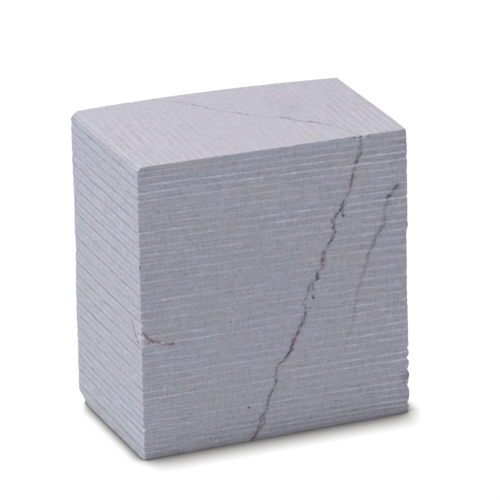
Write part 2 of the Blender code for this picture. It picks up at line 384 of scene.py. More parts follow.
def boxGrids():
    # The box's surface as one wall grid (height by way round) and two cap grids (depth by
    # width), and the wall's flat map: millimetres along the way round, and up.
    xs = columnPlaces(halfWidth, netting["columnGap"], netting["veinMiddle"])
    ys = columnPlaces(halfDepth, netting["sideColumnGap"])
    ringX = np.concatenate([xs[:-1], 0 * ys[:-1] + halfWidth, xs[:0:-1], 0 * ys[:-1] - halfWidth])
    ringY = np.concatenate([0 * xs[:-1] - halfDepth, ys[:-1], 0 * xs[:-1] + halfDepth, ys[:0:-1]])
    straightX, wallZ = np.meshgrid(ringX, rowHeights())
    wallY = np.broadcast_to(ringY, straightX.shape)
    seenZ = wallZ + rowLevel(wallZ) * strokeRise(straightX, wallY)
    wallX = np.where(wallY <= -halfDepth, leaned(straightX, "front", seenZ), straightX)
    wallX = np.where(wallY >= halfDepth, leaned(straightX, "back", seenZ), wallX)
    wall = np.stack([wallX, wallY, wallZ], axis=-1)
    step = np.hypot(np.diff(ringX, append=ringX[0]), np.diff(ringY, append=ringY[0]))
    lean = (wallX - straightX) * np.where(wallY <= -halfDepth, 1.0, -1.0)
    along = np.concatenate([[0.0], np.cumsum(step)]) + np.pad(lean, ((0, 0), (0, 1)))
    wallMap = np.stack([along, np.pad(wallZ, ((0, 0), (0, 1)), "edge")], axis=-1)
    caps = []
    for face, z in (("base", 0.0), ("top", block["height"])):
        capX, capY = np.meshgrid(xs, ys)
        caps.append(np.stack([leaned(capX, face, capY), capY, 0 * capX + z], axis=-1))
    return wall, caps[0], caps[1], wallMap


def ringIndex(nx, ny):
    # the wall's columns, in the places where a cap grid of ny rows and nx columns meets them
    grid = np.full((ny, nx), -1)
    grid[0, :] = np.arange(nx)
    grid[:, -1] = nx - 1 + np.arange(ny)
    grid[-1, ::-1] = nx - 1 + ny - 1 + np.arange(nx)
    grid[1:, 0] = (2 * (nx - 1) + ny - 1 + np.arange(ny - 1))[::-1]
    return grid


def cellCorners(grid):
    # the values of a grid at the four corners of each of its cells
    corners = [grid[:-1, :-1], grid[:-1, 1:], grid[1:, 1:], grid[1:, :-1]]
    return np.stack(corners, axis=2).reshape(-1, 4, grid.shape[-1])


def quads(index):
    # the four corners of each cell of a grid of vertex numbers
    return cellCorners(index[..., None])[..., 0]


def roundedBox(points):
    # core + radius * unit(point - core), where the core is the point held inside a smaller
    # box. Then the edge between the top and the left face is worn rounder: there the square
    # corner (a, b) of the section turns into max(a, b) * unit(a, b).
    local = points - [0.0, 0.0, halfHeight]
    core = np.clip(local, block["edgeRadius"] - halfBlock, halfBlock - block["edgeRadius"])
    out = local - core
    facing = out / np.maximum(np.linalg.norm(out, axis=1, keepdims=True), 1e-9)
    placed = core + facing * block["edgeRadius"]
    worn = block["wornRadius"] * summedNoise(points, block["wornSway"], 1.0)
    a = np.clip(-placed[:, 0] - halfWidth + worn, 0.0, None)
    b = np.clip(placed[:, 2] - halfHeight + worn, 0.0, None)
    length = np.maximum(np.hypot(a, b), 1e-9)
    both = (a > 0) & (b > 0)
    shrink = np.where(both, np.maximum(a, b) / length, 1.0)
    placed[:, 0] += a * (1.0 - shrink)
    placed[:, 2] -= b * (1.0 - shrink)
    turned = np.hypot(facing[:, 0], facing[:, 2]) / length
    facing[:, 0] = np.where(both, -a * turned, facing[:, 0])
    facing[:, 2] = np.where(both, b * turned, facing[:, 2])
    # how far into the worn round edge a point is, for the painted shade there
    wornShare = np.clip(np.minimum(a, b) / worn * edgeWear["dullRise"], 0.0, 1.0)
    return placed + [0.0, 0.0, halfHeight], facing, wornShare


def roundedCorners(points):
    # Inside a cube of a round corner's size, v = (a, b, c) from its inner corner is held to
    # (a^p + b^p + c^p)^(1/p) <= size, where p = 2 size / min(v): a sphere at the corner's tip,
    # and sharper and sharper edges away from it.
    moved = points.copy()
    for sign, radius in block["roundCorners"]:
        local = (moved - [0.0, 0.0, halfHeight]) * sign
        inside = np.clip((local - halfBlock) / radius + 1.0, 0.0, 1.0)
        power = 2.0 / np.maximum(inside.min(axis=1), 0.02)  # 0.02 keeps it finite
        length = (inside ** power[:, None]).sum(axis=1) ** (1.0 / power)
        shrink = np.where(inside.min(axis=1) > 0, 1.0 / np.maximum(length, 1.0), 1.0)
        moved -= np.array(sign) * radius * inside * (1.0 - shrink)[:, None]
    return moved


def strokeNoise(points, kind, seed):
    # layered noise that is stretched along the strokes
    stretch, size, offset = sawing[kind]
    return layeredNoise(points * stretch, size, seed + offset)


def strokeCut(face, points, ledges, seed):
    # Two profiles up the face. The cut is a saw tooth: 0 at a ledge's lip, 1 just past its
    # shelf, and an even slope back. The line, which is painted into the tone, is 1 on the shelf,
    # with a dip below 0 on either side: where lighter, partly chalk and partly a painted highlight,
    # and where darker, painted shade. Noise along the stroke moves both a little, and makes each
    # stroke fade and swell.
    made = strokes[face]
    rng = np.random.default_rng(seed)
    strength = 1.0 + made["uneven"] * rng.uniform(-1.0, 1.0, len(ledges))
    shelf = made["shelf"] / 2
    ends = (0 * strength, strength) if made["shelfUp"] else (strength, 0 * strength)
    height = points[:, 2] + made["sway"] * strokeNoise(points, "sway", seed)
    swell = 1.0 + sawing["swellBy"] * strokeNoise(points, "swell", seed)
    swell = np.clip(swell, *sawing["swellLimits"])
    lips = (ledges[:, None] + [-shelf, shelf]).ravel()
    cut = np.interp(height, lips, np.stack(ends, axis=1).ravel())
    lineStrength = (1.0, sawing["shoulder"], -made["flank"], 0.0)
    line = np.zeros(len(points))
    near = np.abs(height[:, None] - ledges).argmin(axis=1)
    for step in (-1, 0, 1):
        which = np.clip(near + step, 0, len(ledges) - 1)
        apart = np.abs(height - ledges[which]) / made["reach"]
        shape = np.interp(apart, sawing["lineAt"], lineStrength)
        line += np.where((which == near + step), strength[which] * shape, 0.0)
    return cut * swell, line * swell


def outOfTrue(points):
    # each corner's shift, weighted by the share of the opposite part of the box, and the crown
    u = np.clip(points[:, 0] / block["width"] + 0.5, 0.0, 1.0)
    v = np.clip(points[:, 1] / block["depth"] + 0.5, 0.0, 1.0)
    w = np.clip(points[:, 2] / block["height"], 0.0, 1.0)
    moved = points.copy()
    for (i, j, k), shift in block["cornerShifts"].items():
        share = (u if i else 1 - u) * (v if j else 1 - v) * (w if k else 1 - w)
        moved += share[:, None] * np.array(shift)
    moved[:, 2] += block["crown"] * (1 - (2 * u - 1) ** 2) * v * w**4
    return moved


# Knocks and flakes along the edges: where, reach along each axis, depth, all in mm.
chips = (
    ((-47.1, -29.9, 43.5), (1.2, 4.5, 6.0), 0.5),
    ((-47.1, -29.9, 35.4), (0.8, 0.9, 0.9), 0.35),
    ((-47.1, -29.9, 10.0), (0.9, 1.2, 1.2), 0.4),
    ((-47.1, -29.9, 100.0), (2.0, 1.6, 1.5), 0.2),
    ((-47.1, 29.9, 100.0), (2.4, 2.4, 2.4), 0.25),
    ((47.1, -29.9, 0.0), (3.0, 3.0, 2.6), 0.8),
    ((30.8, -29.9, 100.0), (2.2, 1.5, 1.6), 0.6),
    ((47.1, 29.9, 62.0), (1.5, 3.0, 5.0), 0.7),
    ((47.1, 29.9, 22.0), (2.0, 2.0, 3.4), 0.6),
    ((-16.0, 29.9, 0.0), (6.0, 2.0, 1.5), 0.6),
)
chipping = {
    "rough": 0.35,  # how ragged a chip's rim is, in shares of its reach
    "roughNoise": (1.1, 90),  # size and seed
    "farthest": 1.4,  # the squared distance at which even a ragged chip ends
    "onFace": 0.98,  # it sinks inwards from each face this near, in shares of the half size
    "pale": (0.0, 0.25),  # where it begins to show pale, and in full, in shares of its depth
}
edgeWear = {
    "reach": 1.0,  # how far in from an edge flakes go
    "depth": 0.28,
    "size": 2.1,
    "seed": 71,
    "from": (0.05, 0.85),  # where the noise begins to flake the edge, and where in full
    "shows": (0.05, 0.5),  # and how deep a flake is where it begins to show pale, and in full
    "freshChip": 0.7,  # how pale a chip is beside a flake
    "tone": 0.035,  # how much lighter every edge is
    "toneReach": 1.3,
    "dull": 0.075,  # painted shade on the worn round edge: how much darker it is made
    "dullRise": 2.5,  # how soon that painted shade gets so dark, going in from its rims
}
# two upright edges wander sideways: (height, shift to the right), for a left/right and front/back
edgePaths = {
    (1, -1): (
        (33, 0.0), (41, -0.20), (46, -0.31), (57, -0.28), (64, -0.24), (66.3, 0.05), (67.3, 0.36),
        (68.6, 0.12), (80, 0.12), (88, 0.18), (94, 0.28), (97, 0.15), (100, -0.38),
    ),
    (-1, 1): (
        (36, 0.0), (46, 0.20), (52, 0.34), (57, 0.18), (66, 0.28), (74, 0.20), (80, 0.04),
        (100, 0.04),
    ),
}
edgePathReach = 8.0
# the scalloped foot of the edge between the front and the right face
torn = {
    "notches": (-2.0, 4.6, 10.9, 16.5, 20.4, 24.0, 27.4),
    "depth": 0.75,
    "bulge": 0.22,
    "reach": 8.0,  # the scallops die out over this much of both faces
    "sharpness": 2.2,
}
# the back left foot is knocked off this far along its three edges, by a slightly rough plane
footCut = {"reach": (1.8, 9.5, 2.5), "rough": 0.12, "roughNoise": (2.0, 44, 2)}
# How deep the front's strokes bite: (share, from, to), in shares of the width or in mm up.
bite = {
    "even": 0.97,
    "leftEdge": (0.45, 0.0, 0.35),
    "rightEdge": (1.1, 0.62, 1.0),
    "upper": (0.55, 74, 92),
    "middle": 0.36,  # how much less at mid height
    "middleBand": ((36, 46), (64, 74)),
    "lower": (0.18, 34, 44),  # and below it, but not at the left edge
    "lowerAcross": (0.1, 0.2),
    "foot": (0.22, 5, 11),
}
# And how strong the finer strokes between them are.
finer = {
    "across": (1.25, (0.72, 0.12, 0.45)),  # at the left edge, and how it falls from there
    "up": (0.92, 1.05, 0.08),  # rises both ways from a calm height, given in half heights
    "troughs": (0.7, 0.72, 0.88),
    "left": (0.45, (0.6, 15, 40)),
}
# The main vein's groove, and the flakes beside it. Noises are given as (size, seed).
groove = {
    "width": 0.42,
    "depth": 0.12,
    "even": 0.55,  # share of the depth that is there all along, the rest comes and goes
    "patches": (1.7, 21),
    "flake": 0.10,
    "flakeWidth": 0.9,
    "flakes": (1.3, 23),
}

# Soft blots: (place, reach along each axis, strength), in mm. Blushes are pink. Rusts turn the
# veins crimson above 0 and ochre below. Tones are lighter above 0 and darker below; one of them
# is a painted highlight and one is painted shade, and the rest are the stone's own.
blushes = (
    ((28.5, -30.0, 58.0), (7.0, 4.0, 12.0), 0.5),
    ((31.0, -30.0, 36.0), (7.0, 4.0, 12.0), 0.5),
    ((30.0, -30.0, 86.0), (6.0, 4.0, 6.0), 0.4),
    ((14.0, -30.0, 64.0), (5.0, 4.0, 8.0), 0.4),
    ((1.0, -30.0, 87.0), (8.0, 4.0, 4.0), 0.5),
    ((-12.0, -30.0, 74.0), (8.0, 4.0, 3.0), 0.45),
    ((4.0, -30.0, 22.0), (5.0, 4.0, 5.0), 0.45),
    ((-32.0, -30.0, 98.0), (10.0, 4.0, 2.5), 0.7),
    ((-47.2, -26.0, 43.5), (4.0, 5.0, 3.4), 1.0),
    ((-41.0, -30.0, 40.3), (6.0, 2.0, 2.2), 0.9),
)
rusts = (
    ((20.9, -30.0, 69.0), (4.0, 3.0, 3.6), -0.75),
    ((16.8, -30.0, 58.5), (4.0, 3.0, 2.6), 0.8),
    ((7.2, -30.0, 34.0), (5.0, 3.0, 4.0), 0.75),
    ((-9.0, -30.0, 1.5), (4.0, 3.0, 3.0), 0.7),
    ((28.3, -30.0, 89.0), (4.0, 3.0, 2.6), 0.75),
    ((27.0, -30.0, 83.0), (4.0, 3.0, 2.2), 0.7),
    ((-37.5, -30.0, 38.5), (4.5, 3.0, 4.0), 0.65),
    ((-47.2, -26.0, 42.0), (3.0, 5.0, 5.0), 0.6),
)
tones = (
    ((19.5, 5.0, 100.0), (5.0, 8.0, 4.0), -0.08),
    ((-47.0, 28.2, 98.3), (1.6, 2.4, 1.8), -0.20),
    # a painted highlight on the front left top corner
    ((-46.6, -29.6, 99.8), (1.3, 1.3, 1.3), 0.20),
    ((44.5, -30.0, 90.0), (6.0, 4.0, 10.0), -0.05),
    ((43.0, -30.0, 80.0), (3.0, 4.0, 3.0), -0.10),
    ((-46.0, -30.0, 60.0), (4.0, 4.0, 40.0), -0.03),
    ((-43.0, -30.0, 98.4), (4.0, 2.0, 1.4), -0.12),
    ((46.8, -30.0, 4.0), (2.2, 3.0, 5.0), -0.13),
    # painted shade along the front right edge, below the top
    ((46.9, -30.0, 97.5), (0.9, 1.2, 5.0), -0.20),
    ((46.5, -30.0, 14.0), (2.0, 3.0, 3.0), -0.08),
)


def chipped(points, boxPoints):
    # inside each chip's ellipsoid the surface sinks by depth * (1 - squared distance)
    moved = points.copy()
    fresh = np.zeros(len(points))
    ragged = chipping["rough"] * latticeNoise(boxPoints, *chipping["roughNoise"])
    for place, reach, depth in chips:
        distance = (((boxPoints - np.array(place)) / np.array(reach)) ** 2).sum(axis=1)
        share = np.clip(1.0 - distance + ragged, 0.0, 1.0) * (distance < chipping["farthest"])
        fromMiddle = np.array(place) - [0.0, 0.0, halfHeight]
        touched = np.abs(fromMiddle) > chipping["onFace"] * halfBlock
        outward = np.where(touched, np.sign(fromMiddle), 0.0)
        moved -= share[:, None] * (outward / np.linalg.norm(outward)) * depth
        fresh = np.maximum(fresh, smooth(share, *chipping["pale"]))
    return moved, fresh


def knockFoot(points):
    # Past the plane through the three ends of the cut, points fall back onto the plane:
    # point + grad * over / |grad|^2, where over = 1 - dot(grad, point - corner).
    corner = np.array([-halfWidth, halfDepth, 0.0])
    grad = np.array([1.0, -1.0, 1.0]) / np.array(footCut["reach"])
    rough = footCut["rough"] * layeredNoise(points, *footCut["roughNoise"])
    gone = np.clip(1.0 - (points - corner) @ grad + rough, 0.0, None)
    return points + gone[:, None] * grad / (grad @ grad), gone > 0


def edgeDistance(points):
    # on the box's surface the nearest face is at 0, so the second nearest gives the edge
    x, y, z = points.T
    gaps = (halfWidth - np.abs(x), halfDepth - np.abs(y), np.minimum(z, block["height"] - z))
    return np.sort(np.stack(gaps, axis=1), axis=1)[:, 1]


def blots(points, marks):
    # the sum of strength * exp(-squared distance) over the soft blots
    total = np.zeros(len(points))
    for place, reach, strength in marks:
        offset = (points - np.array(place)) / np.array(reach)
        total += strength * np.exp(-(offset**2).sum(axis=1))
    return total


def midHeight(z):
    # 1 in the band at mid height, and 0 above and below it
    low, high = bite["middleBand"]
    return smooth(z, *low) * (1 - smooth(z, *high))


def frontBite(u, z):
    # deeper near both upright edges and near the top, shallower at mid height and lower down
    deeper = falling(u, bite["leftEdge"]) + rising(u, bite["rightEdge"])
    deeper += bite["even"] + rising(z, bite["upper"])
    deeper *= 1 - bite["middle"] * midHeight(z)
    deeper *= 1 - falling(z, bite["lower"]) * smooth(u, *bite["lowerAcross"])
    deeper *= 1 - falling(z, bite["foot"])
    return deeper


def finerShares(u, z):
    # The front's finer strokes show most on its left third, and least at mid height, where
    # they turn into faint troughs on the right. The left face's show most at its foot.
    most, fall = finer["across"]
    slope, calm, margin = finer["up"]
    upward = np.clip(slope * np.abs(z / halfHeight - calm) - margin, 0, 1)
    trough, low, high = finer["troughs"]
    front = (most - rising(u, fall)) * upward - trough * midHeight(z) * smooth(u, low, high)
    left, more = finer["left"]
    return {"front": front, "left": left + falling(z, more)}


def cutStrokes(body, tone, facing, boxPoints):
    # Sinks each face by its strokes' cuts, and paints their lines into the tone: partly chalk,
    # partly a painted highlight on the ledges and painted shade in the grooves beside them. A stroke
    # takes its face's rounded edges inwards with it, and the faces behind them give way.
    x, _, z = boxPoints.T
    u = x / block["width"] + 0.5
    topFrom, topTo = (block["height"] - gap for gap in sawing["topFade"])
    fade = smooth(z, 0.0, sawing["footFade"]) * (1.0 - smooth(z, topFrom, topTo))
    fine = finerShares(u, z)
    for face, made in strokes.items():
        ledges = ledgeHeights(face)
        cut, mark = strokeCut(face, boxPoints, ledges, made["seed"])
        seed = made["seed"] + sawing["fineSeed"]
        fineCut, fineMark = strokeCut(face, boxPoints, halfway(ledges), seed)
        share = made["between"] * fine.get(face, 1.0)
        depth = fade * (frontBite(u, z) if face == "front" else 1.0)
        axis, way = outwards[face]
        behind = halfBlock[axis] - way * boxPoints[:, axis]
        radius = block["edgeRadius"]
        carried = 1.0 - smooth(behind, radius, radius + sawing["giveWay"])
        body[:, axis] -= way * carried * depth * made["cut"] * (cut + share * fineCut)
        side = np.clip(way * facing[:, axis], 0, 1)
        # the strokes' lines go into the tone as chalk, painted highlight and painted shade
        tone += side * depth * made["tone"] * (mark + share * fineMark)


def tearFoot(body, boxPoints):
    # The right front edge moves in at each notch and out between them, by
    # depth * |2t - 1|^sharpness - bulge, where t runs from 0 at a notch to 1 at the next.
    x, y, z = boxPoints.T
    notches = np.array(torn["notches"])
    between = np.clip(np.searchsorted(notches, z) - 1, 0, len(notches) - 2)
    t = (z - notches[between]) / (notches[between + 1] - notches[between])
    scallop = torn["depth"] * np.abs(2 * t - 1) ** torn["sharpness"] - torn["bulge"]
    ragged = 1.0 - smooth(y, -halfDepth, -halfDepth + torn["reach"])
    ragged *= 1.0 - smooth(z, notches[-2], notches[-1])
    ragged *= 1.0 - smooth(halfWidth - x, block["edgeRadius"], torn["reach"])
    body[:, 0] -= ragged * scallop


def swayEdges(body, boxPoints):
    # each edge's path moves it in full, and dies out over the two faces beside it
    x, y, z = boxPoints.T
    for (alongX, alongY), path in edgePaths.items():
        share = 1 - smooth(halfWidth - alongX * x, 0.0, edgePathReach)
        share *= 1 - smooth(halfDepth - alongY * y, 0.0, edgePathReach)
        body[:, 0] += share * np.interp(z, *zip(*path))


def wearEdges(body, tone, facing, wornShare, boxPoints):
    # flakes, chips and the knocked foot, the paler tone of the edges, and painted shade on the worn
    # round edge
    gap = edgeDistance(boxPoints)
    knocks = layeredNoise(boxPoints, edgeWear["size"], edgeWear["seed"])
    flake = smooth(knocks, *edgeWear["from"]) * (1 - smooth(gap, 0.0, edgeWear["reach"]))
    body -= facing * (edgeWear["depth"] * flake)[:, None]
    body, fresh = chipped(body, boxPoints)
    body, footGone = knockFoot(body)
    # painted shade on the worn round edge between the top and the left face
    tone -= edgeWear["dull"] * wornShare
    tone += edgeWear["tone"] * np.exp(-((gap / edgeWear["toneReach"]) ** 2))
    wear = np.maximum(edgeWear["freshChip"] * fresh, smooth(flake, *edgeWear["shows"]))
    return body, wear, footGone


def cutVeins(body, facing, seen, onFace, boxPoints):
    # the main vein is a groove, with flakes broken off beside it
    across, strength = besideVein("main", seen, onFace)
    even = groove["even"]
    sunk = strength * (even + (1 - even) * layeredNoise(boxPoints, *groove["patches"]))
    sunk *= np.exp(-((across / groove["width"]) ** 2))
    body -= facing * (groove["depth"] * sunk)[:, None]
    broken = np.clip(layeredNoise(boxPoints, *groove["flakes"]), 0, 1) * strength
    broken *= np.exp(-((across / groove["flakeWidth"]) ** 2))
    body -= facing * (groove["flake"] * broken)[:, None]
    # the fine veins share one pair of values, so that each point takes the one it's nearest to
    fineAcross, fineStrength = besideVein("second", seen, onFace)
    for name in ("third", "strands"):
        thisAcross, thisStrength = besideVein(name, seen, onFace)
        nearer = (thisStrength > 0) & (np.abs(thisAcross) < np.abs(fineAcross))
        fineAcross = np.where(nearer, thinner * thisAcross, fineAcross)
        fineStrength = np.where(nearer, thisStrength, fineStrength)
    return {
        "veinAcross": across,
        "veinStrength": strength,
        "fineAcross": fineAcross,
        "fineStrength": fineStrength,
    }


def shapeStone(boxPoints):
    # Takes points of the box's surface to the finished stone, and works out what the
    # material needs at each: tone, with its painted highlights and painted shade, blush, wear,
    # and the distance to each vein.
    x, y, z = boxPoints.T
    body, facing, wornShare = roundedBox(boxPoints)
    tone = blots(boxPoints, tones)
    cutStrokes(body, tone, facing, boxPoints)
    tearFoot(body, boxPoints)
    swayEdges(body, boxPoints)
    body, wear, footGone = wearEdges(body, tone, facing, wornShare, boxPoints)

    lift = rowLevel(z) * strokeRise(x, y)
    onFace = {
        "front": y <= -halfDepth,
        "back": y >= halfDepth,
        "left": x <= -halfWidth,
        "right": x >= halfWidth,
        "top": z >= block["height"],
        "base": z <= 0,
    }
    veinFacts = cutVeins(body, facing, np.stack([x, y, z + lift], axis=1), onFace, boxPoints)

    slow = 0.5 + 0.5 * layeredNoise(boxPoints, *block["waveNoise"])
    body -= facing * (block["inset"] + block["wave"] * slow)[:, None]
    body[:, 2] += lift
    body = outOfTrue(roundedCorners(body))
    body[onFace["base"] & ~footGone, 2] = 0.0
    body[:, 2] = np.maximum(body[:, 2], 0.0)
    tints = {"blush": blots(boxPoints, blushes), "rust": blots(boxPoints, rusts)}
    return body, {"tone": tone, "wear": wear, **tints, **veinFacts}


def buildBlock():
    # The two cap grids share their outer points with the wall's first and last rows, so that
    # the mesh is closed. Numbers run over the wall first, then the base, then the top.
    wall, base, top, wallMap = boxGrids()
    rows, around = wall.shape[:2]
    ny, nx = top.shape[:2]
    wallIndex = np.arange(rows * around).reshape(rows, around)
    rim = ringIndex(nx, ny)
    inner = (ny - 2) * (nx - 2)
    baseIndex = np.where(rim >= 0, wallIndex[0][rim], 0)
    topIndex = np.where(rim >= 0, wallIndex[-1][rim], 0)
    baseIndex[1:-1, 1:-1] = rows * around + np.arange(inner).reshape(ny - 2, nx - 2)
    topIndex[1:-1, 1:-1] = rows * around + inner + np.arange(inner).reshape(ny - 2, nx - 2)
    parts = (wall, base[1:-1, 1:-1], top[1:-1, 1:-1])
    points = np.concatenate([part.reshape(-1, 3) for part in parts])
    closed = np.concatenate([wallIndex, wallIndex[:, :1]], axis=1)
    faces = np.concatenate([quads(closed), quads(topIndex), quads(baseIndex)[:, ::-1]])
    places, facts = shapeStone(points)
    # the middle of the finished stone comes over the origin
    shift = -(places.min(axis=0) + places.max(axis=0)) / 2
    shift[2] = 0.0
    places += shift

    mesh = bpy.data.meshes.new("soapstoneBlock")
    mesh.from_pydata((places * mm).tolist(), [], faces.tolist())
    for name, values in facts.items():
        layer = mesh.attributes.new(name, "FLOAT", "POINT")
        layer.data.foreach_set("value", values.astype(np.float32))

    # a flat map of the saw's way: along the stroke and up the face
    topMap = np.stack([top[..., 1] + capMapStart, top[..., 0]], axis=-1)
    baseCorners = cellCorners(topMap + [capMapStep, 0.0])[:, ::-1]
    corners = np.concatenate([cellCorners(wallMap), cellCorners(topMap), baseCorners])
    sawn = mesh.uv_layers.new(name="sawn")
    sawn.uv.foreach_set("vector", (corners / mapUnit).astype(np.float32).ravel())
    mesh.update()
    stone = bpy.data.objects.new("carvedBlock", mesh)
    bpy.context.scene.collection.objects.link(stone)
    print("block:", len(places), "points,", 2 * len(faces), "triangles")
    return stone, shift


# The stone's finish. Lengths are in millimetres, colours are linear.
finish = {
    "blueGrey": (0.365, 0.390, 0.479),
    "pinkGrey": (0.383, 0.384, 0.465),
    "greenGrey": (0.358, 0.394, 0.457),
    "blush": (0.396, 0.371, 0.445),
    "stain": (0.270, 0.240, 0.298),
    "halo": (0.395, 0.282, 0.340),
    "veinDark": (0.058, 0.058, 0.086),
    "veinPale": (0.125, 0.122, 0.165),
    "crimson": (0.165, 0.058, 0.098),
    "ochre": (0.210, 0.110, 0.060),
    "speck": (0.080, 0.075, 0.088),
    "wearShade": 0.09,
    "pitShade": -0.16,
    "roughness": 0.78,
    "roughGrain": 0.14,
    "shine": 0.35,
    "bumpDepth": 0.001,  # in metres
}
# Noises: (stretch, scale, detail, roughness). Some lie in the stone, and others on the flat map
# of its sawn faces, where x runs along a stroke and y across it.
stoneNoises = {
    "cloud": ((1.0, 1.0, 1.0), 0.07, 4.0, 0.6),
    "otherCloud": ((1.0, 1.0, 1.3), 0.11, 3.0, 0.6),
    "mottle": ((1.0, 1.0, 1.0), 0.9, 4.0, 0.75),
    "grain": ((1.0, 1.0, 1.0), 2.0, 3.0, 0.7),
    "pits": ((1.0, 1.0, 1.4), 0.75, 2.0, 0.5),
    "rubbed": ((1.0, 1.0, 1.0), 0.7, 3.0, 0.7),
}
faceNoises = {
    "streak": ((0.11, 1.3, 1.0), 1.0, 3.0, 0.65),
    "chatter": ((1.1, 0.14, 1.0), 1.0, 2.0, 0.6),
    "bend": ((0.02, 0.12, 1.0), 1.0, 2.0, 0.5),
    "scores": ((0.03, 0.36, 1.0), 1.0, 2.0, 0.55),
}
# how much they vary the shade on the sides, and on the top, which was cut smoother, and then
# how much they raise the surface
shadeShares = {
    "mottle": (0.60, 0.42),
    "grain": (0.64, 0.44),
    "streak": (0.42, 0.2),
    "chatter": (0.26, 0.26),
}
reliefShares = {"mottle": 0.12, "streak": 0.13, "chatter": 0.05, "grain": 0.06}
# What a noise does: (its low, its high, the effect at its low, the effect at its high).
effects = {
    "pinker": (0.46, 0.64, 0.0, 0.6),
    "greener": (0.50, 0.68, 0.0, 0.5),
    "blushed": (0.36, 0.56, 0.5, 1.0),
    "pitted": (0.64, 0.72, 0.0, 1.0),
    "rubbed": (0.3, 0.68, 0.4, 1.2),
    "patchy": (0.42, 0.58, 0.35, 1.0),
}
topFrom = (300.0, 400.0)  # where the flat map goes over from the sides to the top
topSaw = {
    "pitch": 2.75,  # from one stroke to the next
    "bend": 5.0,
    "ripple": 0.045,
    "lines": ((0.50, -0.05), (0.55, 0.04)),  # the noise's height along a line, and its shade
    "lineWidth": 0.03,
    "inClouds": (0.4, 0.6, 0.35, 1.0),  # remaps: stronger in the clouds,
    "toSides": (8.0, 38.0, 0.4, 1.5),  # towards the left and the right,
    "toFront": (480.0, 520.0, 1.35, 0.75),  # and towards the front
}
# The marks of the main vein and of the fine ones, in mm, and how much of each shows.
veinMarks = {
    "vein": {"Width": 0.60, "Ragged": 2.0, "Gaps": 0.24},
    "fine": {"Width": 0.74, "Ragged": 1.5, "Gaps": 0.28},
}
veinShares = {"main": 0.93, "fine": 0.85, "stain": 0.2, "fineStain": 0.5}
veinNoises = {
    "jitter": (0.85, 3.0, 0.65),  # scale, detail and roughness
    "gaps": (0.6, 3.0, 0.65),
    "crumbs": (1.5, 2.0, 0.6),
    "cloudy": (0.35, 3.0, 0.6),
}
# What these noises, a vein's strength and the distance from it do, as in effects above. A
# pair is only the low and the high.
veinEffects = {
    "widens": (0.2, 1.1, 0.6, 1.05),
    "breaks": (0.38, 0.58),
    "crumbs": (0.56, 0.64),
    "crumbsEnd": (0.6, 3.0, 0.75, 0.0),
    "stainEnds": (0.0, 5.0, 1.0, 0.0),
    "stainClouds": (0.35, 0.7),
}
# Dark specks and pits: (face, place along it, place up or back, radius, strength), in mm.
specks = (
    ("front", -10.1, 11.8, 0.6, 1.0),
    ("front", -31.0, 12.9, 0.5, 0.4),
    ("front", 46.9, 14.8, 0.9, 1.0),
    ("front", 45.3, 12.0, 0.7, 0.7),
    ("front", 45.6, 13.8, 2.4, 0.3),
    ("front", -46.9, 35.5, 0.8, 0.7),
    ("front", -46.9, 65.5, 0.9, 0.7),
    ("front", 43.6, 81.4, 1.6, 0.36),
    ("front", 40.7, 78.0, 1.2, 0.28),
    ("front", 40.4, 75.5, 1.6, 0.22),
    ("front", 23.4, 75.6, 1.0, 0.6),
    ("front", 24.3, 73.6, 0.8, 0.8),
    ("front", 14.9, 53.2, 0.9, 0.6),
    ("front", 13.3, 46.6, 0.6, 1.0),
    ("front", 28.6, 99.7, 0.8, 0.6),
    ("front", 33.4, 99.4, 0.8, 0.4),
    ("top", 14.0, -3.9, 1.2, 0.45),
    ("top", 20.6, -10.8, 1.6, 0.25),
    ("top", 2.8, 5.3, 0.8, 0.45),
    ("top", 20.9, 5.1, 0.9, 0.25),
    ("top", -19.8, 1.8, 0.6, 0.3),
)
speckHeart = 0.25  # the share of its radius over which a speck is evenly dark


def addNode(tree, kind, settings=None, inputs=None):
    made = tree.nodes.new(kind)
    for name, value in (settings or {}).items():
        setattr(made, name, value)
    for name, value in (inputs or {}).items():
        if isinstance(value, bpy.types.NodeSocket):
            tree.links.new(value, made.inputs[name])
        else:
            made.inputs[name].default_value = value
    return made


def calc(tree, operation, *values, clamp=False):
    settings = {"operation": operation, "use_clamp": clamp}
    return addNode(tree, "ShaderNodeMath", settings, dict(enumerate(values))).outputs[0]


def product(tree, result, *others, clamp=False):
    for value in others:
        result = calc(tree, "MULTIPLY", result, value, clamp=clamp)
    return result


def remap(tree, value, low, high, toLow=0.0, toHigh=1.0, interpolation="SMOOTHSTEP"):
    inputs = {"Value": value, "From Min": low, "From Max": high, "To Min": toLow, "To Max": toHigh}
    made = addNode(tree, "ShaderNodeMapRange", {"interpolation_type": interpolation}, inputs)
    return made.outputs["Result"]


def mixColour(tree, share, first, second, blend="MIX"):
    made = addNode(tree, "ShaderNodeMix", {"data_type": "RGBA", "blend_type": blend}, {0: share})
    for socket, value in ((6, first), (7, second)):
        if isinstance(value, bpy.types.NodeSocket):
            tree.links.new(value, made.inputs[socket])
        else:
            made.inputs[socket].default_value = (*value, 1.0)
    return made.outputs[2]


def grey(tree, value):
    inputs = {"Red": value, "Green": value, "Blue": value}
    return addNode(tree, "ShaderNodeCombineColor", None, inputs).outputs["Color"]


def attribute(tree, name):
    return addNode(tree, "ShaderNodeAttribute", {"attribute_name": name}).outputs["Fac"]


def noise(tree, vector, scale, detail, roughness):
    inputs = {"Vector": vector, "Scale": scale, "Detail": detail, "Roughness": roughness}
    return addNode(tree, "ShaderNodeTexNoise", None, inputs).outputs["Fac"]


def scaled(tree, vector, by):
    return addNode(tree, "ShaderNodeMapping", None, {"Vector": vector, "Scale": by}).outputs["Vector"]


def makeNoises(tree, vector, rules):
    return {name: noise(tree, scaled(tree, vector, by), *rule) for name, (by, *rule) in rules.items()}


def distanceTo(tree, vector, point):
    made = addNode(tree, "ShaderNodeVectorMath", {"operation": "DISTANCE"}, {0: vector, 1: point})
    return made.outputs["Value"]


